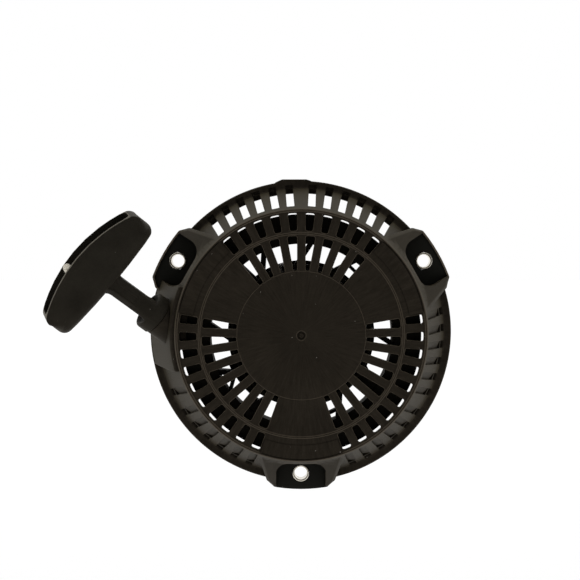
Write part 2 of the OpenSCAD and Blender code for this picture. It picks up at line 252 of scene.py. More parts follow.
def painted_grip_highlight(tree, place):
    """Where a highlight is painted: 1 on the outer edge of the grip, which faces along the pull, and 0
    elsewhere.
    """
    pull = (face(*(PULL_FRAME.to_3x3() @ Vector((0, 0, 1))))) / MM
    facing, along = (add(tree, "VectorMath", {"operation": "DOT_PRODUCT"}, i0=v, i1=pull).outputs["Value"]
                     for v in (own(tree, "Normal"), place))
    start = face(*OUTLET).dot(pull) + HIGHLIGHT_GRIP * MM
    return times(tree, spread(tree, facing, 0.6, 0.8), calc(tree, "GREATER_THAN", along, start))


def recess(tree, colour, depth):
    """The colour, with painted shade where the surface lies in a recess."""
    opening = add(tree, "AmbientOcclusion", {"samples": 6, "only_local": True}, Distance=depth)
    return mixed(tree, spread(tree, opening.outputs["AO"], 0.15, 0.8), RECESS_SHADE, colour)


def flow_lines(tree, place):
    """Streaks that run out from the middle of the front."""
    axes = axes_of(tree, place)
    angle = calc(tree, "ARCTAN2", axes["Z"], axes["X"])
    squares = [calc(tree, "POWER", axes[axis], 2) for axis in ("X", "Z")]
    radius = calc(tree, "POWER", calc(tree, "ADD", *squares), 0.5)
    ray = add(tree, "CombineXYZ", X=times(tree, angle, 24), Y=times(tree, radius, 60), Z=axes["Y"])
    return noise(tree, ray.outputs[0], 1.6, 3.0, 0.7)


def dusted(tree, place, finish, share):
    """The colour, with pale specks scattered over it."""
    cells = add(tree, "TexVoronoi", Vector=place, Scale=220.0)
    pick = add(tree, "SeparateColor", Color=cells.outputs["Color"]).outputs[0]
    size = times(tree, spread(tree, pick, 0.35, 1.0), 0.06)
    speck = calc(tree, "LESS_THAN", cells.outputs["Distance"], size)
    return mixed(tree, times(tree, speck, share), finish, DUST_COLOUR)


def moulded(name, colour, roughness, streaks=0.0, dust=0.0, specular=0.06, highlight_mask=None, shade=0.006,
            pocket=None, sides=None):
    """Black moulded plastic: a fine grain, faint mottling, flow lines, dust, painted edge highlights and
    painted shade.

    One mask marks where highlights are painted, the pocket tint is painted shade on the ears' floors, the two
    side tints are painted shade and painted light on the side walls, and shade is how far away a wall still
    casts painted shade into a recess, in metres.
    """
    gloss = {"Metallic": 0.0, "Specular IOR Level": specular, **WARM_GLOSS}
    material, tree, shader = new_material(name, gloss)
    place = own(tree, "Object")
    fine = noise(tree, place, 2300, 2.0, 0.6)
    broad = noise(tree, place, 45, 3.0, 0.6)
    tone = calc(tree, "MULTIPLY_ADD", broad, 0.7, times(tree, fine, 0.5))
    if streaks:
        tone = calc(tree, "MULTIPLY_ADD", flow_lines(tree, place), streaks, tone)
    # The third tint, six times as light, is the colour of the painted highlights
    dark, light, highlight_colour = (tuple(c * share for c in colour) for share in (0.6, 1.45, 6))
    finish = mixed(tree, spread(tree, tone, 0.4 + 0.35 * streaks, 0.8 + 0.65 * streaks), dark, light)
    if dust:
        finish = dusted(tree, place, finish, dust)
    # Painted shade: the ears' pocket floors take the darker pocket tint
    if pocket:
        finish = mixed(tree, band(tree, height_of(tree, place), EAR_T, 0.5), finish, pocket)
    # Painted shade on side walls that look down, and painted light on those that look up
    if sides:
        finish = with_painted_wall_shading(tree, finish, *sides)
    # Painted highlights: the masked edges take the light tint
    if highlight_mask:
        finish = mixed(tree, highlight_mask(tree, place), finish, highlight_colour)
    rough = spread(tree, tone, 0.3, 1.1, roughness + 0.07, roughness - 0.07)
    # Painted shade in the recesses, from ambient occlusion
    feed(tree, shader, recess(tree, finish, shade), rough)
    relief(tree, shader, fine, GRAIN)
    return material


def metal(name, colour, roughness, scratch=400, depth=0.00001, tint=None):
    """Bare or plated metal, with fine scratches, and patches of a second tint."""
    material, tree, shader = new_material(name, {"Metallic": 1.0, "Specular IOR Level": 0.5})
    place = own(tree, "Object")
    stretched = add(tree, "Mapping", Vector=place, Scale=(1, 6, 1)).outputs[0]
    lines = noise(tree, stretched, scratch, 4.0, 0.7)
    patches = noise(tree, place, 180, 3.0, 0.6)
    finish = mixed(tree, spread(tree, patches, 0.35, 0.7), colour, tint or tuple(c * 0.75 for c in colour))
    feed(tree, shader, finish, spread(tree, lines, 0.3, 0.75, roughness - 0.08, roughness + 0.14))
    relief(tree, shader, lines, depth)
    return material


def braided_rope(name):
    """Cream braid with a coloured tracer and painted shade between strands. The map gives mm along the rope
    and the share of a turn.
    """
    material, tree, shader = new_material(name, {"Metallic": 0.0, "Specular IOR Level": 0.3})
    weave = add(tree, "UVMap", {"uv_map": "weave"}).outputs[0]
    axes = axes_of(tree, weave)
    along = calc(tree, "DIVIDE", axes["X"], 2.6)
    around = times(tree, axes["Y"], 6)
    right = calc(tree, "ADD", around, along)
    left = calc(tree, "SUBTRACT", around, along)
    crossing = calc(tree, "ADD", calc(tree, "FLOOR", right), calc(tree, "FLOOR", left))
    on_top = calc(tree, "LESS_THAN", calc(tree, "FLOORED_MODULO", crossing, 2), 0.5)
    strand = add(tree, "Mix", {"data_type": "FLOAT"}, i0=on_top, i2=left, i3=right).outputs[0]
    crest = calc(tree, "SINE", times(tree, calc(tree, "FRACT", strand), math.pi))
    number = calc(tree, "FLOORED_MODULO", calc(tree, "FLOOR", strand), 6)
    tracer = calc(tree, "LESS_THAN", number, 0.5)
    place = own(tree, "Object")
    soil = spread(tree, noise(tree, place, 160, 4.0, 0.6), 0.35, 0.75)
    yarn = mixed(tree, soil, (0.76, 0.71, 0.60), (0.60, 0.55, 0.45))
    yarn = mixed(tree, times(tree, tracer, 0.75), yarn, (0.16, 0.17, 0.2))
    # Painted shade in the valleys between strands
    valley_shade = spread(tree, crest, 0.1, 0.7, 0.45, 0.0)
    yarn = mixed(tree, valley_shade, yarn, (0.2, 0.18, 0.14))
    feed(tree, shader, yarn, spread(tree, crest, 0.0, 1.0, 0.9, 0.7))
    threads = noise(tree, place, 3000, 2.0, 0.5)
    relief(tree, shader, calc(tree, "MULTIPLY_ADD", threads, 0.2, crest), 0.0003)
    return material


# ------------------------------------------------------------------ shapes and solids
# A solid is a pair (points, faces) in the face frame. An outline is a list of (x, y), counter-clockwise.


def ease(t):
    """A smooth step from 0 to 1."""
    t = min(1, max(0, t))
    return t * t * (3 - 2 * t)


def polar(r, angle):
    """The point of the plane at radius r and an angle in degrees."""
    return r * math.cos(math.radians(angle)), r * math.sin(math.radians(angle))


def rounded(corners, radius, steps=4):
    """An outline through corners (x, y) or (x, y, own radius), each turned into an arc."""
    outline = []
    count = len(corners)
    for i, corner in enumerate(corners):
        here = Vector(corner[:2])
        back = (Vector(corners[i - 1][:2]) - here)
        ahead = (Vector(corners[(i + 1) % count][:2]) - here)
        r = corner[2] if len(corner) > 2 else radius
        half = back.angle(ahead) / 2
        if r <= 0 or half > math.radians(88):
            outline.append(tuple(here))
            continue
        reach = min(r / math.tan(half), 0.48 * back.length, 0.48 * ahead.length)
        r = reach * math.tan(half)
        middle = here + (back.normalized() + ahead.normalized()).normalized() * (r / math.sin(half))
        start = here + back.normalized() * reach - middle
        turn = start.angle_signed(here + ahead.normalized() * reach - middle)
        for k in range(steps + 1):
            outline.append(tuple(middle + Matrix.Rotation(-turn * k / steps, 2) @ start))
    return outline


def grown(outline, distance):
    """The outline moved outwards by a distance, or by a list with one for each point."""
    moved = []
    count = len(outline)
    distances = distance if isinstance(distance, list) else [distance] * count
    for i in range(count):
        a, b, c = (Vector(outline[(i + k) % count]) for k in (-1, 0, 1))
        first = Vector((b.y - a.y, a.x - b.x)).normalized()
        second = Vector((c.y - b.y, b.x - c.x)).normalized()
        moved.append(tuple(b + (first + second) * distances[i] / (1 + first.dot(second))))
    return moved


def stack(loops):
    """A solid through loops of equal length, one above the other."""
    n = len(loops[0])
    points = [p for loop in loops for p in loop]
    faces = [tuple(reversed(range(n)))]
    for i in range(len(loops) - 1):
        for k in range(n):
            a, b = i * n + k, i * n + (k + 1) % n
            faces.append((a, b, b + n, a + n))
    faces.append(tuple(range((len(loops) - 1) * n, len(loops) * n)))
    return points, faces


def fillet(radius, angles):
    """(out, down) pairs of a quarter round: how far off its wall, and how far below its top."""
    turns = [math.radians(a) for a in angles]
    return [(radius * (1 - math.cos(turn)), radius * (1 - math.sin(turn))) for turn in turns]


def flare(edge):
    """(offset, depth) pairs that round the rim of a cut, from its wall out to the surface."""
    return fillet(edge, (0, 30, 60, 86))


def risen(outline, levels):
    """A solid from one outline, grown by an offset at each height. A level is (offset, height)."""
    return stack([[(x, y, z) for x, y in grown(outline, offset)] for offset, z in levels])


def block(outline, low, high, top=0.5, bottom=0.0):
    """An outline raised from low to high, with its top and bottom edges rounded."""
    turns = (0, 30, 60, 90)
    levels = [(-out, low + down) for out, down in reversed(fillet(bottom, turns))] if bottom else [(0, low)]
    levels += [(-out, high - down) for out, down in fillet(top, turns)] if top else [(0, high)]
    return risen(outline, levels)


def revolve(profile, segments=240):
    """A closed profile of (r, z), counter-clockwise, turned about the z axis."""
    points, rings = [], []
    for r, z in profile:
        if r == 0:
            rings.append([len(points)] * segments)
            points.append((0, 0, z))
            continue
        rings.append(list(range(len(points), len(points) + segments)))
        points += [(*polar(r, 360 * k / segments), z) for k in range(segments)]
    faces = []
    for i, ring in enumerate(rings):
        below = rings[i - 1]
        for k in range(segments):
            m = (k + 1) % segments
            corners = [below[k], below[m], ring[m], ring[k]]
            corners = [c for j, c in enumerate(corners) if c != corners[j - 1]]
            if len(corners) > 2:
                faces.append(tuple(corners))
    return points, faces


def spin(angle, axis="Z"):
    """A turn by an angle in degrees."""
    return Matrix.Rotation(math.radians(angle), 4, axis)


def shift(x, y, z):
    return Matrix.Translation((x, y, z))


def placed(solid, matrix):
    """The solid moved by a matrix of the face frame."""
    return [tuple(matrix @ Vector(p)) for p in solid[0]], solid[1]


def turned(solid, angle):
    """The solid turned about the z axis."""
    return placed(solid, spin(angle))


def object_from(name, solids):
    """One object in the row frame from solids of the face frame."""
    points, faces = [], []
    for solid in solids:
        start = len(points)
        points += [face(*p) for p in solid[0]]
        faces += [tuple(i + start for i in f) for f in solid[1]]
    mesh = bpy.data.meshes.new(name)
    mesh.from_pydata(points, [], faces)
    mesh.update()
    return linked(bpy.data.objects.new(name, mesh))


def combine(target, tools, operation):
    """A boolean step on the target's mesh. The tools are solids, or one object."""
    other = tools[0] if isinstance(tools[0], bpy.types.Object) else object_from("tool", tools)
    step = target.modifiers.new("combine", "BOOLEAN")
    step.operation = operation
    step.solver = "MANIFOLD"
    step.object = other
    graph = bpy.context.evaluated_depsgraph_get()
    result = bpy.data.meshes.new_from_object(target.evaluated_get(graph))
    target.modifiers.clear()
    target.data = result
    bpy.data.objects.remove(other)


def join(target, *tools):
    """Adds solids or an object to the target's mesh."""
    combine(target, tools, "UNION")


def cut(target, *tools):
    """Cuts solids out of the target's mesh."""
    combine(target, tools, "DIFFERENCE")


def smooth(target, angle=32):
    """Smooth shading, apart from edges sharper than the angle."""
    target.data.materials.clear()
    shape = bmesh.new()
    shape.from_mesh(target.data)
    bmesh.ops.remove_doubles(shape, verts=shape.verts, dist=0.004 * MM)
    bmesh.ops.dissolve_degenerate(shape, edges=shape.edges, dist=0.002 * MM)
    for piece in shape.faces:
        piece.smooth = True
        piece.material_index = 0
    for edge in shape.edges:
        edge.smooth = edge.is_manifold and edge.calc_face_angle(0) < math.radians(angle)
    shape.to_mesh(target.data)
    shape.free()
    even = target.modifiers.new("even_normals", "WEIGHTED_NORMAL")
    even.keep_sharp = True


def rect(x0, x1, y0, y1, radius=0.0):
    """A rectangle with rounded corners."""
    return rounded([(x0, y0), (x1, y0), (x1, y1), (x0, y1)], radius, 3)


def circle(r, x=0.0, y=0.0, steps=48):
    return [(x + r * math.cos(2 * math.pi * k / steps), y + r * math.sin(2 * math.pi * k / steps))
            for k in range(steps)]


# ------------------------------------------------------------------ housing

FRONT = 48.0
SHELL = 2.8
WALL_FOOT = (86.0, 6.0)
WALL_TOP = (73.0, 45.8)
WALL_LEAN = (WALL_FOOT[0] - WALL_TOP[0]) / (WALL_TOP[1] - WALL_FOOT[1])
# The front plate slopes outside this radius
SLOPE_R = 62.8
SLOT_GROUPS = (90, 210, 330)
# Rows of slots: inner and outer radius, slots in a group, degrees from one bar to the next
SLOT_ROWS = ((37.4, 57.2, 8, 10.65), (60.2, 70.3, 10, 8.42))
# Half of the angle that a group covers, half of a bar's width, and what is kept at a group's ends
GROUP_HALF = 40.2
BAR_HALF, END_GAP, SLOT_CORNER = 2.45, 0.3, 1.1
WINDOWS, WINDOW_START, WINDOW_PITCH = 6, 4.7, 6.75
EARS = (30, 150, 270)
BOLT_R = 85.0
EAR_T = 9.0
GUSSET_X = (69.0, 92.6)
OUTLET = Vector((-83.4, 10.5, 34.0))
OUTLET_ARC = (158, 193)
FOOT_R = 11.4
PULL_ANGLE, PULL_TILT = 142, 20
PULL_FRAME = shift(*OUTLET) @ spin(PULL_ANGLE - 90) @ spin(PULL_TILT - 90, "X")


def wall_r(z):
    """Outer radius of the side wall at a height."""
    return WALL_FOOT[0] - (z - WALL_FOOT[1]) * WALL_LEAN


def front_z(r):
    """Height of the front plate, which is lower outside the ridge."""
    return FRONT if r < SLOPE_R else FRONT - 0.4 - 0.05 * (r - SLOPE_R)


def on_wall(angle, s, z, depth):
    """A point below the side wall's surface: s mm sideways of a ray, at a height and a depth."""
    lean = math.atan(WALL_LEAN)
    r = wall_r(z) - depth * math.cos(lean)
    point = Vector((math.sqrt(r * r - s * s), s, z - depth * math.sin(lean)))
    return tuple(Matrix.Rotation(math.radians(angle), 3, "Z") @ point)


def housing_blank():
    """The outer form: flange and wall, bead at the front plate's edge, ridge between the slots, hub."""
    raised = FRONT + 0.45
    flange = [(0, 0), (90, 0), (90.4, 0.4), (90.4, 5), (90.2, 5.6), (89.6, 6), (86.8, 6), (86.1, 6.4),
              (85.6, 7.2)]
    bead = [(wall_r(45), 45), (73, 46.2), (72.8, 47), (72.2, 47.6), (71.7, 47.6), (71, 46.85), (70.5, 47.05)]
    ridge = [(63.4, front_z(63.4)), (61.8, FRONT), (59.7, FRONT), (59.4, 48.1), (58.9, raised),
             (58.4, raised), (57.9, 48.1), (57.5, FRONT)]
    hub = [(37.1, FRONT), (36.9, 48.15), (36.35, raised), (3, raised), (2.6, 48.2), (2.3, 47.3),
           (1.3, 47.2), (0.9, 47.9), (0, 48)]
    return revolve(flange + bead + ridge + hub)


def housing_cavity():
    """The space inside the housing, open to the rear."""
    inner = FRONT - SHELL
    return revolve([(0, -1), (83.4, -1), (83.4, 0), (83, 0.4), (83, 6), (wall_r(43.6) - 3, 43.6),
                    (wall_r(inner) - 4.6, inner), (0, inner)])


def slot_outline(r_in, r_out, first, last, first_gap, last_gap):
    """A slot between two rays, keeping a straight bar of half-width gap along each."""
    def at(r, ray, gap):
        return ray + math.degrees(math.asin(gap / r))
    a, b = at(r_in, first, first_gap), at(r_out, first, first_gap)
    c, d = at(r_out, last, -last_gap), at(r_in, last, -last_gap)
    corners = ((r_in, a, SLOT_CORNER), (r_out, b, SLOT_CORNER), (r_out, (b + c) / 2, 0),
               (r_out, c, SLOT_CORNER), (r_in, d, SLOT_CORNER), (r_in, (a + d) / 2, 0))
    return rounded([(*polar(r, angle), radius) for r, angle, radius in corners], SLOT_CORNER)


def cutter(loop, depth, edge):
    """Cuts down to a depth and rounds the rim. loop(offset, depth) gives the outline there."""
    return stack([loop(0, depth)] + [loop(*step) for step in flare(edge)] + [loop(edge, -2)])


def slot_cutter(outline):
    """Cuts a slot through the front plate."""
    def loop(offset, depth):
        return [(x, y, front_z(math.hypot(x, y)) - depth) for x, y in grown(outline, offset)]
    return cutter(loop, 5, 0.55)


def front_slots():
    """Cutters for both rows of slots. The outermost slots end at the edges of their group."""
    cutters = []
    for r_in, r_out, count, pitch in SLOT_ROWS:
        for group in SLOT_GROUPS:
            for i in range(count):
                starts, ends = i == 0, i == count - 1
                first = group - GROUP_HALF if starts else group + (i - count / 2) * pitch
                last = group + GROUP_HALF if ends else group + (i - count / 2 + 1) * pitch
                gaps = [END_GAP if at_end else BAR_HALF for at_end in (starts, ends)]
                cutters.append(slot_cutter(slot_outline(r_in, r_out, first, last, *gaps)))
    return cutters


def plain_panel(angle):
    """The raised panel between two groups of outer slots."""
    inner, outer, half, steps = 63.6, 70.6, 18.8, 16
    rays = [angle - half + 2 * half * k / steps for k in range(steps + 1)]
    outline = [polar(inner, a) for a in rays] + [polar(outer, a) for a in reversed(rays)]
    return block(outline, 45.5, front_z(inner) + 0.5, 0.5)


def wall_cutter(angle, outline, depths, edge):
    """Cuts an outline (s, z) into the side wall, down to a depth that may change with s."""
    def loop(offset, depth):
        return [on_wall(angle, s, z, depth(s) if callable(depth) else depth)
                for s, z in grown(outline, offset)]
    return cutter(loop, depths, edge)


def window(low, high, corner):
    return rect(-2.2, 2.2, low, high, corner)


def side_windows():
    """Cutters for the side wall: tall windows above, low ones with a sunk panel elsewhere."""
    cutters = []
    for group in SLOT_GROUPS:
        steps = [WINDOW_START + WINDOW_PITCH * i for i in range(WINDOWS)]
        for angle in [group - step for step in steps] + [group + step for step in steps]:
            if OUTLET_ARC[0] - 6 < angle < OUTLET_ARC[1] + 9:
                continue
            if group == 90:
                cutters.append(wall_cutter(angle, window(5.3, 41, 0.7), 5, 0.45))
                continue
            slant = 0.32 if group == 210 else -0.32
            cutters.append(wall_cutter(angle, window(6.5, 14.5, 0.7), 5, 0.3))
            cutters.append(wall_cutter(angle, window(15.8, 44.2, 0.4), lambda s: 1.0 + slant * s, 0.2))
    return cutters


def pocket_outline():
    """The pocket above an ear, open outwards."""
    return rounded([(104, -14.8, 0), (104, 14.8, 0), (75.3, 14.8), (75.3, -14.8)], 8, 8)


def ear_solids(angle):
    """An ear, and the floor of its pocket."""
    floor = rounded([(88, -17, 0), (88, 17, 0), (72.9, 17), (72.9, -17)], 10.4, 8)
    solids = [block(ear_outline(), 0, EAR_T, 0.7, 0.3), block(floor, 0, EAR_T, 0)]
    return [turned(s, angle) for s in solids]


def ear_outline():
    rim = [(*polar(94.8, a), 0) for a in (-8.6, -6, -3, 0, 3, 6, 8.6)]
    return rounded([(78, -23, 0), (88.8, -20.6, 2.5), (93.4, -16, 1.5)] + rim
                   + [(93.4, 16, 1.5), (88.8, 20.6, 2.5), (78, 23, 0)], 1)


def ear_lip(angle):
    """A thin raised lip along the outer edge of an ear."""
    lip = object_from("lip", [block(ear_outline(), EAR_T - 1, EAR_T + 0.8, 0.35)])
    for inside in (grown(ear_outline(), -1.1), circle(87.5, steps=180)):
        cut(lip, block(inside, EAR_T - 2, EAR_T + 2, 0))
    lip.data.transform(spin(-angle, "Y"))
    return lip


def gusset(angle, side):
    """A wedge that falls from the front rim to a corner of an ear, bevelled on its outer side."""
    def loop(x):
        share = (x - GUSSET_X[0]) / (GUSSET_X[1] - GUSSET_X[0])
        outer = 25.3 - 4.9 * min(1, share / 0.84) - 3.6 * max(0, share - 0.84) / 0.16
        top = 44 - 31.5 * min(1, share / 0.93) - 1.5 * max(0, share - 0.93) / 0.07
        bevel = 2.4 - 0.8 * share
        points = [(9, 1), (outer, 1), (outer, top - 1.7 * bevel), (outer - 0.25, top - 1.45 * bevel),
                  (outer - bevel + 0.4, top - 0.35), (outer - bevel - 0.4, top), (9, top)]
        return [(x, side * y, z) for y, z in points]
    count = 12
    loops = [loop(GUSSET_X[0] + (GUSSET_X[1] - GUSSET_X[0]) * k / count) for k in range(count + 1)]
    return turned(stack(loops if side > 0 else list(reversed(loops))), angle)


def bulge_z(r):
    """Height of the sloping face of the rope outlet."""
    return (92 - r) * 45 / 16.4


def outlet_dent():
    """Cuts a three-sided dent into the face of the rope outlet."""
    triangle = rounded([(-84.6, 0.4), (-78.6, -7), (-78.6, 6.4)], 0.8)
    floor = [(x, y, bulge_z(math.hypot(x, y)) - 3.6) for x, y in triangle]
    return stack([floor, [(x, y, 54) for x, y in triangle]])


def flange_tab():
    """The tab on the flange at the top, left of the middle."""
    outline = [(-16.5, 84), (7.5, 84), (7.5, 90), (3.4, 91.3), (-11.4, 91.3), (-16.5, 88.9)]
    return block(rounded(outline, 3), 0, 6, 0.5)


def ledge():
    """A ledge inside the side wall, behind the outer slots nearest the rope outlet."""
    outer, inner = ([polar(r, a) for a in range(165, 187, 3)] for r in (73, 66.5))
    return block(outer + inner[::-1], 42.2, 44, 0)


def outlet_bulge():
    """The part of the side wall that swells out to hold the rope outlet."""
    def loop(z, shrink=0.0):
        r = min(90.4, 92 - 16.4 * z / 45) - shrink
        first, last = OUTLET_ARC[0], OUTLET_ARC[1] + 3.5 * (1 - max(0, r - 78) / 12)
        arc = [(*polar(r, first + (last - first) * k / 8), 0) for k in range(1, 8)]
        start = [(*polar(64, first), 0), (*polar(r, first), 1.5)]
        end = [(*polar(r, last), 1.5), (*polar(64, last), 0)]
        return [(x, y, z) for x, y in rounded(start + arc + end, 1)]
    plain = [loop(z) for z in (0.5, 4.4, 12, 24, 36, 43.4)]
    return stack(plain + [loop(44.4, 0.4), loop(44.9, 1.4)])


def make_housing():
    """The outside, then the cavity, then what stands in it and what is cut through it."""
    body = object_from("housing_shell", [housing_blank()])
    walls = object_from("walls", [turned(block(grown(pocket_outline(), 2.4), 0.5, 44, 0), a) for a in EARS])
    combine(walls, [revolve([(0, 0), (wall_r(0), 0), (wall_r(43.9), 43.9), (0, 43.9)])], "INTERSECT")
    join(body, outlet_bulge())
    cut(body, outlet_dent())
    join(body, placed(block(circle(10.8), -14, 0, 0.6), PULL_FRAME))
    join(body, flange_tab())
    for angle in EARS:
        for side in (-1, 1):
            if (angle, side) != (150, 1):
                join(body, gusset(angle, side))
    cut(body, housing_cavity())
    for angle in EARS:
        for solid in ear_solids(angle):
            join(body, solid)
    join(body, walls)
    join(body, block(circle(9, steps=64), 13.5, 46, 0, 0.4))
    for angle in EARS:
        join(body, plain_panel(angle))
    cut(body, *front_slots())
    cut(body, *side_windows())
    join(body, ledge())
    cut(body, *[turned(block(pocket_outline(), EAR_T, 60, 0), a) for a in EARS])
    cut(body, *[turned(block(circle(5.2, BOLT_R), -1, 12, 0), a) for a in EARS])
    for angle in (30, 150):
        join(body, ear_lip(angle))
    cut(body, placed(block(circle(7.2), -30, 2, 0), PULL_FRAME))
    cut(body, placed(block(circle(FOOT_R + 0.6, steps=96), 0.02, 12, 0), PULL_FRAME))
    cut(body, block(circle(4.6), 12, 28, 0))
    finished(body, "housing", "housing_plastic", "housing")


def finished(target, body, slot, *nodes):
    """Smooths and paints a piece, and puts it on its body in place of CAD nodes."""
    painted(target, slot)
    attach(target, body)
    if nodes:
        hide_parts(*nodes)


def add_piece(name, solids, body, slot, node):
    finished(object_from(name, solids), body, slot, node)


def painted(target, slot):
    smooth(target)
    target.data.materials.append(materials[slot])


# ------------------------------------------------------------------ handle
# Drawn in the pull's own frame: z along the pull, x along the grip, -y towards the camera.

GRIP_IN, GRIP_OUT = 35.2, 62.8
GRIP_HALF = 40.0
GRIP_T = 18.2
STEM_W, STEM_T = 11.6, 12.6
STEM_RIDGE = 2.65
SLOT_FLOOR = 48.0
SLOT_HALF = 36.5
SLOT_SIDES = (-6.7, 7.7)
GRIP_LEAN = shift(-40, 0, 49) @ spin(2.2, "Y") @ shift(40, 0, -49)


def crown(x):
    """Height of the grip's outer edge, x mm along the grip."""
    return GRIP_OUT - 7.9 * (x / 36.6) ** 2


def grip_outline():
    """The grip seen from the front: (x along the grip, distance along the pull)."""
    inner = [(x, GRIP_IN + 0.0012 * x * x, 0) for x in (-30, -15, 0, 15, 30)]
    outer = [(x, crown(x), 0) for x in (33, 27, 20, 10, 0, -10, -20, -27, -33)]
    right, left = ([(side * GRIP_HALF, 37.4, 6), (side * (GRIP_HALF - 0.4), 53.4, 7)] for side in (1, -1))
    return rounded([left[0]] + inner + right + outer + [left[1]], 0, 6)


def round_inset(radius, depth):
    """How far a rounded edge lies inside its outline, at a depth below the face that it rounds."""
    return 0 if depth >= radius else radius - math.sqrt(radius ** 2 - (radius - depth) ** 2)


def grip_solid():
    """A bar whose edges are crisp beside the slot and well rounded towards the stem."""
    crisp, soft = 1.1, 7.5
    depths = [depth for depth, _ in fillet(crisp, (0, 30, 60)) + fillet(soft, (35, 45, 60, 75, 90))]

    def loop(y):
        depth = GRIP_T / 2 - abs(y)
        outline = grip_outline()
        inset = [round_inset(crisp + (soft - crisp) * ease((50 - z) / 9), depth) for x, z in outline]
        return [(x, y, z) for x, z in grown(outline, [-d for d in inset])]
    levels = [GRIP_T / 2 - depth for depth in depths]
    return stack([loop(y) for y in levels] + [loop(-y) for y in reversed(levels)])


def stem_outline(distance):
    """Cross-section of the stem, with two fine ridges along its front and two along its back."""
    half, side, top = STEM_T / 2, STEM_W / 2, STEM_RIDGE
    right = [(top - 0.8, 0.6 - half, 0.4), (top, -half, 0.4), (top + 0.8, 0.7 - half, 0.8),
             (side, 3 - half, 1.6)]
    left = [(-x, y, r) for x, y, r in reversed(right)]
    back = [(-x, -y, r) for x, y, r in left + right]
    return grown(rounded(left + right + back, 1), distance)


def stem_solid():
    """The stem, with a small fillet at the foot and a large one at the grip."""
    small, large = 1.6, 5.5
    levels = [(2, small)] + [(5.6 + up, out) for up, out in fillet(small, (0, 30, 60, 90))]
    loops = [[(x, y, z) for x, y in stem_outline(out)] for z, out in levels]
    for out, down in fillet(large, (0, 18, 36, 54, 70, 82)):
        widen = 1 + out / (STEM_W / 2)
        deepen, z = 1 + 0.12 * (widen - 1), GRIP_IN + 1.2 - down
        loops.append([(x * widen, y * deepen, z) for x, y in stem_outline(0)])
    loops.append([(x, y, 44) for x, y in stem_outline(0)])
    return stack(loops)


def foot_web():
    """The stem's root, which widens to the front and the back of the foot."""
    front = [(-5.8, -9.2), (-3, -11.2), (3, -11.2), (5.8, -9.2)]
    wide = rounded(front + [(-x, -y) for x, y in front], 2)
    levels = [(2, 0), (6.6, 0), (7.6, 0.12), (9, 0.4), (11, 0.65), (14, 0.85), (18, 1)]
    return stack([[(x * (1 - 0.1 * slim), y * (1 - 0.47 * slim), z) for x, y in wide] for z, slim in levels])


def foot_solid():
    """The round foot of the handle, with a raised rim."""
    return revolve([(0, 0.3), (10.9, 0.3), (FOOT_R, 0.8), (FOOT_R, 5.8), (11.2, 6.7), (10.7, 7.3),
                    (10, 7.5), (9.3, 7.2), (8.5, 6.5), (7.6, 6.0), (6.4, 5.8), (0, 5.8)], 96)


def slot_of_grip():
    """Cuts the long slot into the crowned outer edge, and rounds its rim."""
    outline = long_edges(rect(-SLOT_HALF, SLOT_HALF, *SLOT_SIDES, 3.5), 4.0)

    def crowned(offset, depth):
        return [(x, y, crown(x) - depth) for x, y in grown(outline, offset)]
    floor = [(x, y, SLOT_FLOOR) for x, y in outline]
    mouth = [(x, y, GRIP_OUT + 3) for x, y in grown(outline, 0.5)]
    return stack([floor] + [crowned(offset, depth) for offset, depth in flare(0.5)] + [mouth])


def long_edges(outline, longest):
    """The outline with extra points along its long edges."""
    result = []
    for i, here in enumerate(outline):
        here, ahead = Vector(here), Vector(outline[(i + 1) % len(outline)])
        count = max(1, round((ahead - here).length / longest))
        result += [tuple(here.lerp(ahead, k / count)) for k in range(count)]
    return result


def make_handle():
    handle = object_from("grip_and_stem", [placed(grip_solid(), PULL_FRAME @ GRIP_LEAN)])
    for solid in (stem_solid(), foot_solid(), foot_web()):
        join(handle, placed(solid, PULL_FRAME))
    cut(handle, placed(slot_of_grip(), PULL_FRAME @ GRIP_LEAN))
    cut(handle, placed(block(circle(2.6), -2, 50, 0), PULL_FRAME))
    finished(handle, "handle", "handle_plastic", "handle_grip")


# ------------------------------------------------------------------ fixed metal parts


def make_sleeves():
    """The metal sleeves in the ears' bolt holes. Their bores widen at the front."""
    top = EAR_T + 0.5
    profile = [(3.7, 0, 0.3), (5.1, 0, 0.3), (5.1, top, 0.5), (4.2, top, 0.25), (3.9, EAR_T, 0.3)]
    ring = revolve(rounded(profile, 0.3, 3), 64)
    for angle, side in ((150, "left"), (30, "right"), (270, "bottom")):
        sleeve = placed(ring, spin(angle) @ shift(BOLT_R, 0, 0))
        add_piece("sleeve_" + side, [sleeve], "housing", "sleeve_steel", "mount_sleeve_" + side)


def make_rope_guide():
    """A flared ring in the rope outlet."""
    profile = rounded([(4.6, -7, 0.2), (5.6, -7, 0.2), (5.6, -1.6, 0), (7.2, -1.6, 0.1), (7.2, 0, 0.5),
                       (3.8, 0, 1.4), (2.7, -1.6, 1), (2.7, -3, 1), (3, -4.5, 1)], 0.2, 4)
    ring = placed(revolve(profile, 72), PULL_FRAME)
    add_piece("rope_guide_ring", [ring], "housing", "plated_steel", "rope_guide")


WASHER = (12.3, 13.5)


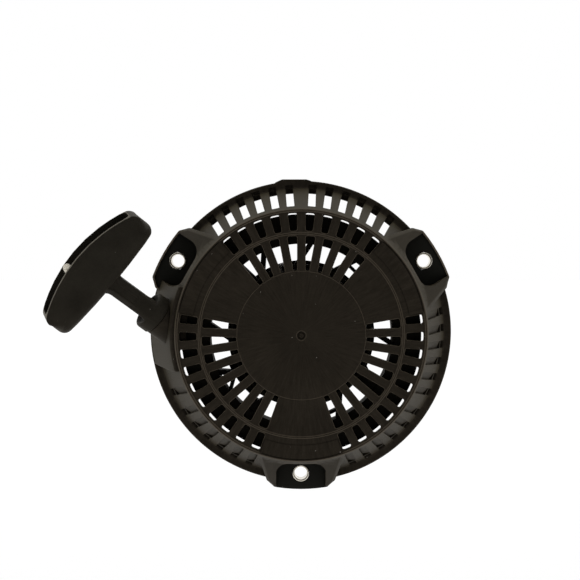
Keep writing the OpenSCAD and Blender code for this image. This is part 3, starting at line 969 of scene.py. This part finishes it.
def make_screw_and_washer():
    """The flange screw in the post, and the washer that holds the plate and the reel."""
    seat = WASHER[0]
    hexagon = rounded([polar(5.75, 60 * k + 30) for k in range(6)], 0.25, 2)
    screw = object_from("flange_screw", [block(hexagon, seat - 5, seat - 1, 0)])
    dome = [(0, -5), (3.6, -4.95), (5.0, -4.8), (6.2, -3.9), (6.2, 0), (0, 0)]
    flange = [(0, -2), (5.4, -1.9), (6.6, -1.1), (7, -0.8), (7, -0.2), (6.8, 0), (0, 0)]
    dimple = [(0, -6), (2.4, -6), (2.4, -5), (2, -4.5), (0, -4.4)]
    dome, flange, dimple = ([(r, seat + z) for r, z in part] for part in (dome, flange, dimple))
    combine(screw, [revolve(dome, 96)], "INTERSECT")
    join(screw, revolve(flange, 96))
    join(screw, block(circle(2.95), seat - 1, seat + 15, 0.5))
    cut(screw, revolve(dimple, 48))
    finished(screw, "housing", "plated_steel", "centre_screw")
    washer = revolve(rect(3.3, 13.5, *WASHER, 0.25), 96)
    add_piece("spring_washer", [washer], "housing", "plated_steel", "thrust_washer")


# ------------------------------------------------------------------ reel and its spring

CUP_R, CUP_WALL, CUP_TOP = 40.8, 2.0, 43.4
HUB = (9.08, 12.6)
PAWL_Z, PAWL_T = 20.0, 3.4
PIVOT_R = 19.0
REEL_FLOOR = (26.0, 29.0)
GROOVE_R, GROOVE_Z = 55.4, (27.4, 39.0)
REEL_R, REAR_R = 69.4, 70.0
SPOKES = 12
KNOT_ANGLE = 324
SPRING_END = 107
ROPE_R, ROPE_Z = 2.1, 33.0


def bar(start, end, width, top, edge, place=Matrix()):
    """A bar of the reel between two points given as (radius, angle)."""
    first, last = Vector(polar(*start)), Vector(polar(*end))
    run = last - first
    solid = block(rect(0, run.length, -width / 2, width / 2), 28, top, edge, edge)
    return placed(solid, place @ shift(*first, 0) @ Matrix.Rotation(math.atan2(run.y, run.x), 4, "Z"))


# Webs between some of the spokes: (radius, angle) of each end, width and height of the top
WEBS = (
    ((40, 129.5), (54, 131.4), 2.6, 40.2),
    ((45.4, 236.6), (54, 236.6), 6.2, 40.2),
    ((40, 226), (45.6, 226), 6.0, 36.0),
    ((40, 215.3), (45.4, 215.3), 6.0, 36.0),
    ((40, 205), (45.6, 205), 6.0, 36.0),
    ((44.0, 209.5), (54, 219.5), 2.2, 40.2),
    ((48.6, 299), (49.4, 285), 1.9, 36.0),
    ((49.4, 60), (48.2, 45), 1.9, 36.0),
    ((43.4, 60), (49.0, 55), 1.9, 36.0),
)


def make_reel():
    """The spring cup with its hub, the grooved rim, and the spokes, webs and bosses between them."""
    low, high = REEL_FLOOR
    cup = rounded([(HUB[0], PAWL_Z, 0.4), (HUB[1], PAWL_Z, 0.5), (HUB[1], low, 1.2), (CUP_R - 1.6, low, 0.2),
                   (CUP_R - 1.4, low - 0.9, 0.3), (CUP_R + 2.2, low - 0.9, 0.5),
                   (CUP_R + 2.2, low + 1.6, 0.5), (CUP_R, low + 2.4, 0.8), (CUP_R, CUP_TOP, 0.6),
                   (CUP_R - CUP_WALL, CUP_TOP, 0.6), (CUP_R - CUP_WALL, high, 0.8),
                   (HUB[0], high, 0.4)], 0.5, 3)
    floor, top = GROOVE_Z
    rim = rounded([(GROOVE_R - 2.8, floor - 2.4), (GROOVE_R - 1.6, floor - 2.4, 0.3),
                   (GROOVE_R, floor - 1.6, 0.6), (REAR_R - 1.6, floor - 2, 0.4), (REAR_R, floor - 2.4, 0.4),
                   (REAR_R, floor - 0.6, 0.4), (GROOVE_R, floor, 0.6), (GROOVE_R, top, 0.6),
                   (REEL_R, top + 0.6, 0.4), (REEL_R, top + 2, 0.5), (57.4, top + 2, 0.2),
                   (57, top + 2.8, 0.4), (GROOVE_R - 2.8, top + 2.8, 0.5)], 0.5, 3)
    reel = object_from("rope_wheel", [revolve(cup)])
    outer = object_from("wheel_rim", [revolve(rim)])
    ends = (CUP_R - CUP_WALL / 2, 5.5), (GROOVE_R - 1.4, -5.5)
    join(outer, *[bar(*ends, 3.0, 40.4, 0.6, spin(29 + 360 * k / SPOKES)) for k in range(SPOKES)])
    join(reel, outer)
    knot = spin(KNOT_ANGLE)
    join(reel, placed(block(rect(40, 53.6, -5.6, 5.6, 0.8), 28, 40.4, 0.5, 0.5), knot))
    join(reel, *[block(circle(3, 0, side * PIVOT_R), PAWL_Z - 0.6, low + 1, 0, 0.5) for side in (-1, 1)])
    for start, end, width, height in WEBS:
        join(reel, bar(start, end, width, height, 0.5))
    cut(reel, placed(block(rect(43.6, 52, -4.4, 4.4, 1), 24, 39, 0), knot))
    across = knot @ shift(0, 0, ROPE_Z) @ spin(90, "Y")
    cut(reel, placed(block(circle(ROPE_R + 0.4), 49, 57, 0), across))
    notch = block(rect(CUP_R - CUP_WALL - 1, CUP_R + 1, -1, 1), 34, 46, 0)
    cut(reel, turned(notch, SPRING_END))
    finished(reel, "reel", "reel_plastic", "reel")


def make_recoil_spring():
    """A thin strip, coiled flat in its cup, with a hook on its outer end."""
    turns, strip = 20, 0.4
    r_in, r_out = 11.0, 38.2
    low, high = 30.4, 42.4
    loops = []
    for i in range(turns * 72 + 1):
        share = i / (turns * 72)
        r = r_in + (r_out - r_in) * share ** 0.8
        x, y = polar(1, SPRING_END + 360 * turns * (share - 1))
        inside, outside = r - strip / 2, r + strip / 2
        corners = (inside, low), (inside, high), (outside, high), (outside, low)
        loops.append([(x * a, y * a, z) for a, z in corners])
    hook = block(rect(r_out - 0.6, 41.6, -0.35, 0.35), 34.4, 42.4, 0.1)
    lip = block(rect(41.2, 42.6, -2.4, 0.35, 0.3), 34.4, 42.4, 0.1)
    solids = [stack(loops), turned(hook, SPRING_END), turned(lip, SPRING_END)]
    add_piece("spiral_spring", solids, "reel", "spring_steel", "recoil_spring")


# ------------------------------------------------------------------ ratchet

PLATE_R, PLATE_Z, PLATE_T = 29.0, 13.8, 1.6
PLATE_TURN, PAWL_TURN = 25, 22
PIN_AT, PIN_R = 9.0, 1.8


def through(outline, low, high, edge=0.3):
    """Cuts a hole through a plate and rounds both of its edges."""
    levels = [(edge, low - 1)] + [(offset, low + depth) for offset, depth in reversed(flare(edge))]
    levels += [(offset, high - depth) for offset, depth in flare(edge)] + [(edge, high + 1)]
    return risen(outline, levels)


def pivot(index):
    """Where a pawl sits on the reel."""
    return spin(180 * (index - 1)) @ shift(0, PIVOT_R, 0)


def make_pawls():
    """Two flat pawls, each with a pin that reaches into a slot of the friction plate."""
    low, high = PAWL_Z, PAWL_Z + PAWL_T
    outline = rounded([(-5.6, -5.6, 5.5), (0, -5.6, 2), (11, -3.4, 9), (22, 1.6, 0.5),
                       (22, 4.8, 0.5), (13, 6.6, 9), (0, 5.6, 2), (-5.6, 5.6, 5.5)], 1, 8)
    tip = PLATE_Z - 0.8
    pin = revolve([(0, tip), (1.5, tip), (PIN_R, PLATE_Z - 0.5), (PIN_R, low + 1), (0, low + 1)], 48)
    for index in (1, 2):
        name, place = "pawl_{}".format(index), pivot(index)
        pawl = object_from(name + "_steel", [placed(block(outline, low, high, 0.35, 0.35), place)])
        join(pawl, placed(pin, place @ shift(PIN_AT, 0, 0)))
        cut(pawl, placed(through(circle(3.08), low, high), place))
        finished(pawl, name, "pawl_steel", name)


def pin_on_plate(share):
    """Middle of a pawl's pin, seen from the friction plate, at a share of the full turn."""
    swing, lag = math.radians(PAWL_TURN * share), math.radians(-PLATE_TURN * share)
    pin = Vector((PIN_AT * math.cos(swing), PIVOT_R + PIN_AT * math.sin(swing)))
    return Matrix.Rotation(lag, 2) @ pin


def track(centres, half_width):
    """Outline of a slot with round ends along a line of centres."""
    last = len(centres) - 1
    sides = []
    for i in range(last + 1):
        ahead = (centres[min(i + 1, last)] - centres[max(i - 1, 0)]).normalized()
        sides.append(Vector((-ahead.y, ahead.x)))

    def cap(end, way):
        turns = [Matrix.Rotation(math.radians(180 * k / 8) * way, 2) for k in range(1, 8)]
        return [tuple(centres[end] + half_width * (turn @ sides[end])) for turn in turns]
    lower = [tuple(here - half_width * side) for here, side in zip(centres, sides)]
    upper = [tuple(here + half_width * side) for here, side in zip(centres, sides)]
    return cap(0, 1) + lower + cap(last, -1)[::-1] + upper[::-1]


def make_friction_plate():
    """A plate with two scallops, two slots for the pawls' pins, and a neck round the post."""
    low, high, neck = PLATE_Z, PLATE_Z + PLATE_T, PAWL_Z - 0.4
    plate = object_from("guide_plate", [block(circle(PLATE_R, steps=144), low, high, 0.3, 0.3)])
    for turn in (20, 200):
        cut(plate, turned(through(circle(16, PLATE_R + 9, 0, 144), low, high), turn))
    join(plate, block(circle(12), low + 0.1, neck, 0.4))
    centres = [pin_on_plate(k / 10) for k in range(11)]
    for turn in (0, 180):
        cut(plate, turned(through(track(centres, PIN_R + 0.4), low, high), turn))
    cut(plate, through(circle(HUB[0], steps=96), low, neck))
    finished(plate, "friction_plate", "plate_plastic", "friction_plate")


# ------------------------------------------------------------------ wire springs and rope


def smooth_path(points, step):
    """A smooth curve through points, with a point about every step mm."""
    points = [Vector(p) for p in points]
    line = [2 * points[0] - points[1]] + points + [2 * points[-1] - points[-2]]
    path = []
    for i in range(1, len(line) - 2):
        a, b, c, d = line[i - 1:i + 3]
        count = max(2, round((c - b).length / step))
        for k in range(count):
            t = k / count
            path.append(0.5 * (2 * b + (c - a) * t + (2 * a - 5 * b + 4 * c - d) * t ** 2
                               + (3 * b - a - 3 * c + d) * t ** 3))
    return path + [points[-1]]


def tube(path, radius, sides=12):
    """A closed tube along a path. The radius is a number, or a function of length and angle."""
    last = len(path) - 1
    normal = (path[1] - path[0]).orthogonal().normalized()
    loops, along = [], 0.0
    for i, here in enumerate(path):
        if i:
            along += (here - path[i - 1]).length
        ahead = (path[min(i + 1, last)] - path[max(i - 1, 0)]).normalized()
        normal = (normal - ahead * normal.dot(ahead)).normalized()
        side = ahead.cross(normal)
        loop = []
        for k in range(sides):
            a = 2 * math.pi * k / sides
            r = radius(along, a) if callable(radius) else radius
            loop.append(tuple(here + r * (math.cos(a) * normal + math.sin(a) * side)))
        loops.append(loop)
    return stack(loops)


def make_wire_springs():
    """A coil on each pawl's pivot, and the clip round the friction plate's neck."""
    coil_r, turns, steps = 4.3, 1.75, 84
    coil = [(*polar(coil_r, 90 + 360 * turns * k / steps), 24 + 1.6 * k / steps) for k in range(steps + 1)]
    path = [(x, coil_r, 24) for x in (9, 6, 3)] + coil + [(4.4, 0.8, 25.6), (6.5, 0.2, 25.6), (9, 0, 25.6)]
    wire = tube(smooth_path(path, 0.4), 0.4)
    for index in (1, 2):
        solids, node = [placed(wire, pivot(index))], "pawl_spring_{}".format(index)
        add_piece("pawl_coil_{}".format(index), solids, "reel", "spring_steel", node)
    r, level = 12.8, 17.6
    loop = [(*polar(r, 30 + 3 * k), level) for k in range(101)]
    path = [(*polar(1.3 * r, 30), level), (*polar(1.12 * r, 29), level)] + loop
    clip = tube(smooth_path(path, 0.5), 0.6, 14)
    add_piece("drag_clip", [clip], "friction_plate", "spring_steel", "friction_spring")


def braid_radius(along, around):
    """Radius of the braided rope, with the low relief of its strands."""
    twist = 2 * math.pi * along / 9
    return ROPE_R * (0.97 + 0.03 * math.cos(4 * around + 4 * twist) * math.cos(4 * around - 4 * twist))


def braid_of(share):
    """The braid's radius, thicker or thinner by a share."""
    return lambda along, around: share * braid_radius(along, around)


def rope_object(name, path, radius=braid_radius, sides=24, along=None):
    """A braided rope with a map of its length and of the angle round it."""
    rope = object_from(name, [tube(path, radius, sides)])
    lengths = [0.0, *accumulate((b - a).length for a, b in zip(path, path[1:]))]
    if along:
        lengths = [along(i / (len(path) - 1)) for i in range(len(path))]
    weave = rope.data.uv_layers.new(name="weave")
    for piece in rope.data.polygons:
        for loop in piece.loop_indices:
            vertex = rope.data.loops[loop].vertex_index
            ring, k = divmod(vertex, sides)
            if len(piece.vertices) == 4 and k == 0 and (sides - 1) in [v % sides for v in piece.vertices]:
                k = sides
            weave.data[loop].uv = (lengths[ring], k / sides)
    return rope


def in_pull_frame(points):
    return [tuple(PULL_FRAME @ Vector(p)) for p in points]


def reel_end(angle, r, z=ROPE_Z):
    return Vector((*polar(r, angle), z))


WINDING_R = 61.7
ROPE_START = KNOT_ANGLE + 720
LEAVE_ANGLE = 212.7


def winding_point(angle):
    """The rope on the reel: two turns side by side, then a climb to where it leaves the reel."""
    layer = GROOVE_R + ROPE_R + 0.1
    laid = ROPE_START - angle
    to_rear, to_front = 3.4 * ease(laid / 44), 7.3 * ease((laid - 320) / 40)
    back, to_outlet = 3.1 * ease((laid - 360) / 44), 0.8 * ease((400 - angle) / 60)
    r = layer + (WINDING_R - layer) * ease((402 - angle) / 50)
    return reel_end(angle, r, ROPE_Z - to_rear + to_front - back - to_outlet)


def make_rope():
    inlet = [reel_end(ROPE_START, r) for r in (52.2, 54.4, 56.2)]
    inlet += [reel_end(ROPE_START - 1, 57.2), reel_end(ROPE_START - 3, 57.5)]
    first = ROPE_START - 6
    turns = [winding_point(first - 2 * k) for k in range(int((first - LEAVE_ANGLE) / 2) + 1)]
    winding = rope_object("wound_rope", smooth_path(inlet + turns + [winding_point(LEAVE_ANGLE)], 0.7))
    finished(winding, "reel", "rope", "rope_winding")

    pull = PULL_FRAME.to_3x3() @ Vector((0, 0, 1))
    bend = OUTLET - 9 * pull
    leave = reel_end(LEAVE_ANGLE, WINDING_R)
    route = [leave] + [leave.lerp(bend, share) for share in (0.25, 0.5, 0.75, 0.92)]
    route += [bend + 1.2 * pull, bend + 4 * pull, OUTLET - 1.5 * pull]
    run = rope_object("rope_to_outlet", smooth_path(route, 0.5))
    finished(run, "housing", "rope", "rope_run")

    in_reel = spin(KNOT_ANGLE) @ shift(47.9, 0, 34.2) @ spin(90, "Y")
    make_knot("knot_in_reel", in_reel, 0.78, 1.5, "reel", "reel_knot")
    in_handle = PULL_FRAME @ shift(0, 0, SLOT_FLOOR + 3.2)
    make_knot("knot_in_handle", in_handle, 0.86, 1.75, "handle", "handle_knot")
    route = in_pull_frame([(-1.2, -1.5, 51.3), (-3.6, -3.0, 51.8), (-6.6, -3.8, 52.8), (-8.0, -4.2, 55.2),
                           (-8.4, -4.2, 57.8), (-8.5, -3.2, 59.3), (-8.5, 0.0, 59.7), (-8.5, 3.6, 59.5),
                           (-8.4, 5.0, 58.0), (-8.2, 5.0, 55.6), (-7.4, 4.6, 52.8)])
    end = rope_object("rope_end_in_slot", smooth_path(route, 0.5), braid_of(1.15))
    finished(end, "handle", "rope")

    straight = in_pull_frame([(0, 0, z) for z in (5, 20, 35, 50)])
    tail = rope_object("rope_in_stem", smooth_path(straight, 0.7))
    finished(tail, "handle", "rope", "rope_tail")
    make_pulled_rope(pull)


def make_knot(name, place, size, radius, body, node):
    """A knot pulled tight: a trefoil of rope."""
    path = []
    for k in range(120):
        t = 2 * math.pi * k / 119
        x, y = math.sin(t) + 2 * math.sin(2 * t), math.cos(t) - 2 * math.cos(2 * t)
        path.append(place @ (size * Vector((x, y, -1.4 * math.sin(3 * t)))))
    knot = rope_object(name, path, braid_of(radius / ROPE_R))
    finished(knot, body, "rope", node)


def make_pulled_rope(pull):
    """A short rope squeezed into the handle's foot and the guide, with a map as long as 850 mm of rope."""
    first, last, count = -2.5, 6.0, 170
    path = [OUTLET + (first + (last - first) * k / count) * pull for k in range(count + 1)]
    rope = rope_object("rope_pulled_out", path, ROPE_R - 0.05, 16, lambda share: 850 * ease(share))
    painted(rope, "rope")
    tuple(face(*path[2]))
    tuple(face(*path[-3]))
    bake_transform(rope)


# ------------------------------------------------------------------ assembly

make_camera()
make_stage()

# The frame has a material called brass too, so Blender may change a name that is given here
materials = {
    # The housing: its pocket tint is painted shade on the ears' floors, its side tints are painted shade and
    # painted light, and its mask paints edge highlights
    "housing_plastic": moulded("housing_plastic", (0.02, 0.0163, 0.012), 0.62, streaks=1.2, dust=1.0,
                                highlight_mask=painted_edge_highlights, pocket=(0.0125, 0.0128, 0.0112),
                                sides=((0.0105, 0.008, 0.005), (0.029, 0.024, 0.014))),
    # The handle gets a painted highlight on the grip's outer edge and painted shade in its recesses
    "handle_plastic": moulded("handle_plastic", (0.016, 0.0142, 0.011), 0.52, dust=0.5, highlight_mask=painted_grip_highlight,
                               shade=0.012),
    "reel_plastic": moulded("reel_plastic", (0.0115, 0.0102, 0.0078), 0.7, streaks=0.4, specular=0.03),
    "plate_plastic": moulded("plate_plastic", (0.03, 0.03, 0.03), 0.48),
    "sleeve_steel": metal("sleeve_steel", (0.78, 0.74, 0.66), 0.2, tint=(0.6, 0.55, 0.45)),
    "plated_steel": metal("plated_steel", (0.62, 0.62, 0.6), 0.3, tint=(0.55, 0.52, 0.42)),
    "spring_steel": metal("spring_steel", (0.42, 0.42, 0.42), 0.28, tint=(0.3, 0.27, 0.24)),
    "pawl_steel": metal("pawl_steel", (0.36, 0.36, 0.37), 0.45, scratch=2500, depth=0.00003),
    "brass": metal("brass", (0.7, 0.52, 0.22), 0.36),
    "rope": braided_rope("rope"),
}
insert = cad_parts["post_insert"]
insert.data.materials.clear()
insert.data.materials.append(materials["brass"])

make_housing()
make_handle()
make_sleeves()
make_rope_guide()
make_screw_and_washer()
make_reel()
make_recoil_spring()
make_pawls()
make_friction_plate()
make_wire_springs()
make_rope()
